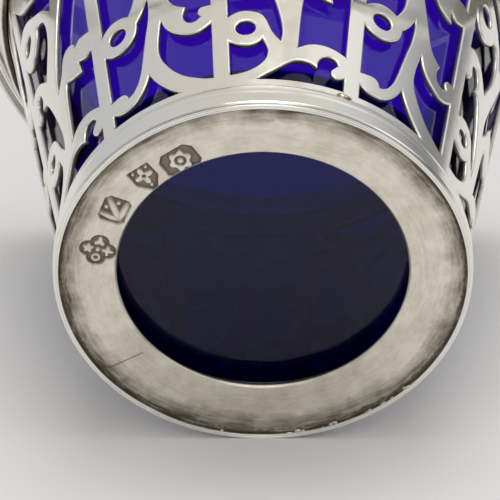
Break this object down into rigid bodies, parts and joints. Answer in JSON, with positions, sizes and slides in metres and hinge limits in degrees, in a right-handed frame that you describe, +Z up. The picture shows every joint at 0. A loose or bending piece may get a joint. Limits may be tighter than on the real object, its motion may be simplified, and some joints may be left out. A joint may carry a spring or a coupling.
{
  "type": "cream pail",
  "caption": "Tapering pierced silver pail on a moulded foot with a flared rim, a lift-out blue glass liner and a swing handle.",
  "frame": {"origin": "centre of the foot ring's underside; the pail stands upright", "axes": "+Z up out of the mouth, X through the two handle pivots; the handle hangs on the -Y side"},
  "size_m": [0.0818, 0.073, 0.0659],
  "materials": {
    "silver": "polished silver with bright filed edges",
    "dull_silver": "worn silver, tarnished towards the foot wire",
    "cobalt_glass": "clear cobalt blue, polished"
  },
  "bodies": {
    "pail": {"pierced_wall": "silver", "base_plate": "dull_silver", "foot_edge_wire": "silver", "foot_reed_band": "silver", "rim_border": "silver", "rim_edge_wire": "silver", "ear_right": "silver", "pivot_pin_right": "silver", "ear_left": "silver", "pivot_pin_left": "silver"},
    "liner": {"glass_liner": "cobalt_glass"},
    "bail": {"bail_handle": "silver"}
  },
  "joints": [
    {"name": "bail_swing", "type": "hinge", "parent": "pail", "child": "bail", "pos_m": [0, 0, 0.0626], "axis": [-1, 0, 0], "range_deg": [0, 288]},
    {"name": "liner_lift", "type": "slide", "parent": "pail", "child": "liner", "axis": [0, 0, 1], "range_m": [0, 0.06]}
  ]
}
